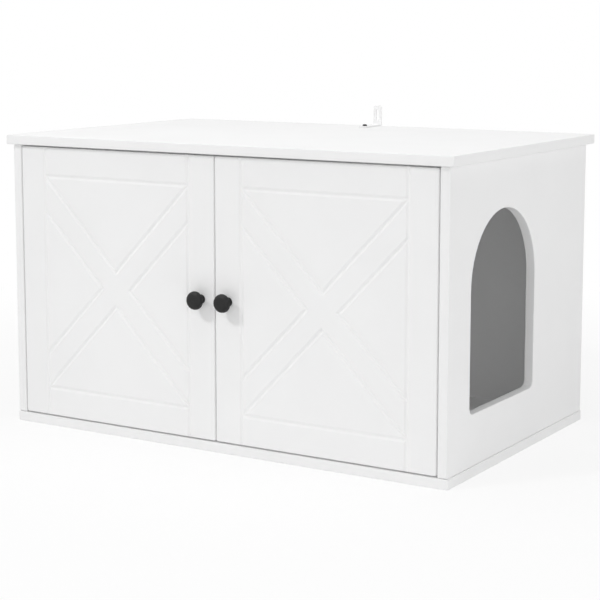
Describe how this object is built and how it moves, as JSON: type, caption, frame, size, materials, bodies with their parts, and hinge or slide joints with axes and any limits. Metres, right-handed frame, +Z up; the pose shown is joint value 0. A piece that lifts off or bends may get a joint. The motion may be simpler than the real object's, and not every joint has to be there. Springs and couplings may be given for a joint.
{
  "type": "cat litter box cabinet",
  "caption": "Low white board cabinet that hides a cat litter box: inset doors with cross grooves, mushroom knobs, an arched cat entry in one side and a wall bracket.",
  "frame": {"origin": "centre of the base panel's underside, on the floor", "axes": "+X to the right of someone facing the doors, towards the side with the cat entry; +Y to the rear, towards the wall; +Z up"},
  "size_m": [0.85, 0.5573, 0.5353],
  "materials": {
    "white_paint": "smooth satin white paint on fibreboard",
    "black_paint": "matte black coating",
    "zinc": "dull zinc plating",
    "nickel": "satin nickel plating",
    "beech": "bare turned beech",
    "white_steel": "white powder coat"
  },
  "bodies": {
    "cabinet": {"top_panel": "white_paint", "base_panel": "white_paint", "back_panel": "white_paint", "right_side_panel": "white_paint", "left_side_panel": "white_paint", "wall_bracket": "white_steel", "wall_bracket_screw": "black_paint", "right_upper_hinge_arm": "nickel", "right_lower_hinge_arm": "nickel", "right_upper_hinge_plate": "nickel", "right_lower_hinge_plate": "nickel", "right_upper_hinge_screw": "zinc", "right_lower_hinge_screw": "zinc", "left_upper_hinge_arm": "nickel", "left_lower_hinge_arm": "nickel", "left_upper_hinge_plate": "nickel", "left_lower_hinge_plate": "nickel", "left_upper_hinge_screw": "zinc", "left_lower_hinge_screw": "zinc", "right_top_front_cam": "zinc", "right_top_front_cam_bolt": "zinc", "right_top_front_dowel": "beech", "right_top_rear_cam": "zinc", "right_top_rear_cam_bolt": "zinc", "right_top_rear_dowel": "beech", "right_base_front_cam": "zinc", "right_base_front_cam_bolt": "zinc", "right_base_front_dowel": "beech", "right_base_rear_cam": "zinc", "right_base_rear_cam_bolt": "zinc", "right_base_rear_dowel": "beech", "left_top_front_cam": "zinc", "left_top_front_cam_bolt": "zinc", "left_top_front_dowel": "beech", "left_top_rear_cam": "zinc", "left_top_rear_cam_bolt": "zinc", "left_top_rear_dowel": "beech", "left_base_front_cam": "zinc", "left_base_front_cam_bolt": "zinc", "left_base_front_dowel": "beech", "left_base_rear_cam": "zinc", "left_base_rear_cam_bolt": "zinc", "left_base_rear_dowel": "beech"},
    "right_door": {"right_door": "white_paint", "right_knob": "black_paint", "right_knob_screw": "zinc", "right_upper_hinge_cup": "nickel", "right_lower_hinge_cup": "nickel", "right_upper_hinge_pin": "nickel", "right_lower_hinge_pin": "nickel"},
    "left_door": {"left_door": "white_paint", "left_knob": "black_paint", "left_knob_screw": "zinc", "left_upper_hinge_cup": "nickel", "left_lower_hinge_cup": "nickel", "left_upper_hinge_pin": "nickel", "left_lower_hinge_pin": "nickel"}
  },
  "joints": [
    {"name": "right_door_hinge", "type": "hinge", "parent": "cabinet", "child": "right_door", "pos_m": [0.3817, -0.25, 0.2486], "axis": [0, 0, 1], "range_deg": [0, 100]},
    {"name": "left_door_hinge", "type": "hinge", "parent": "cabinet", "child": "left_door", "pos_m": [-0.3817, -0.25, 0.2486], "axis": [0, 0, -1], "range_deg": [0, 100]}
  ]
}
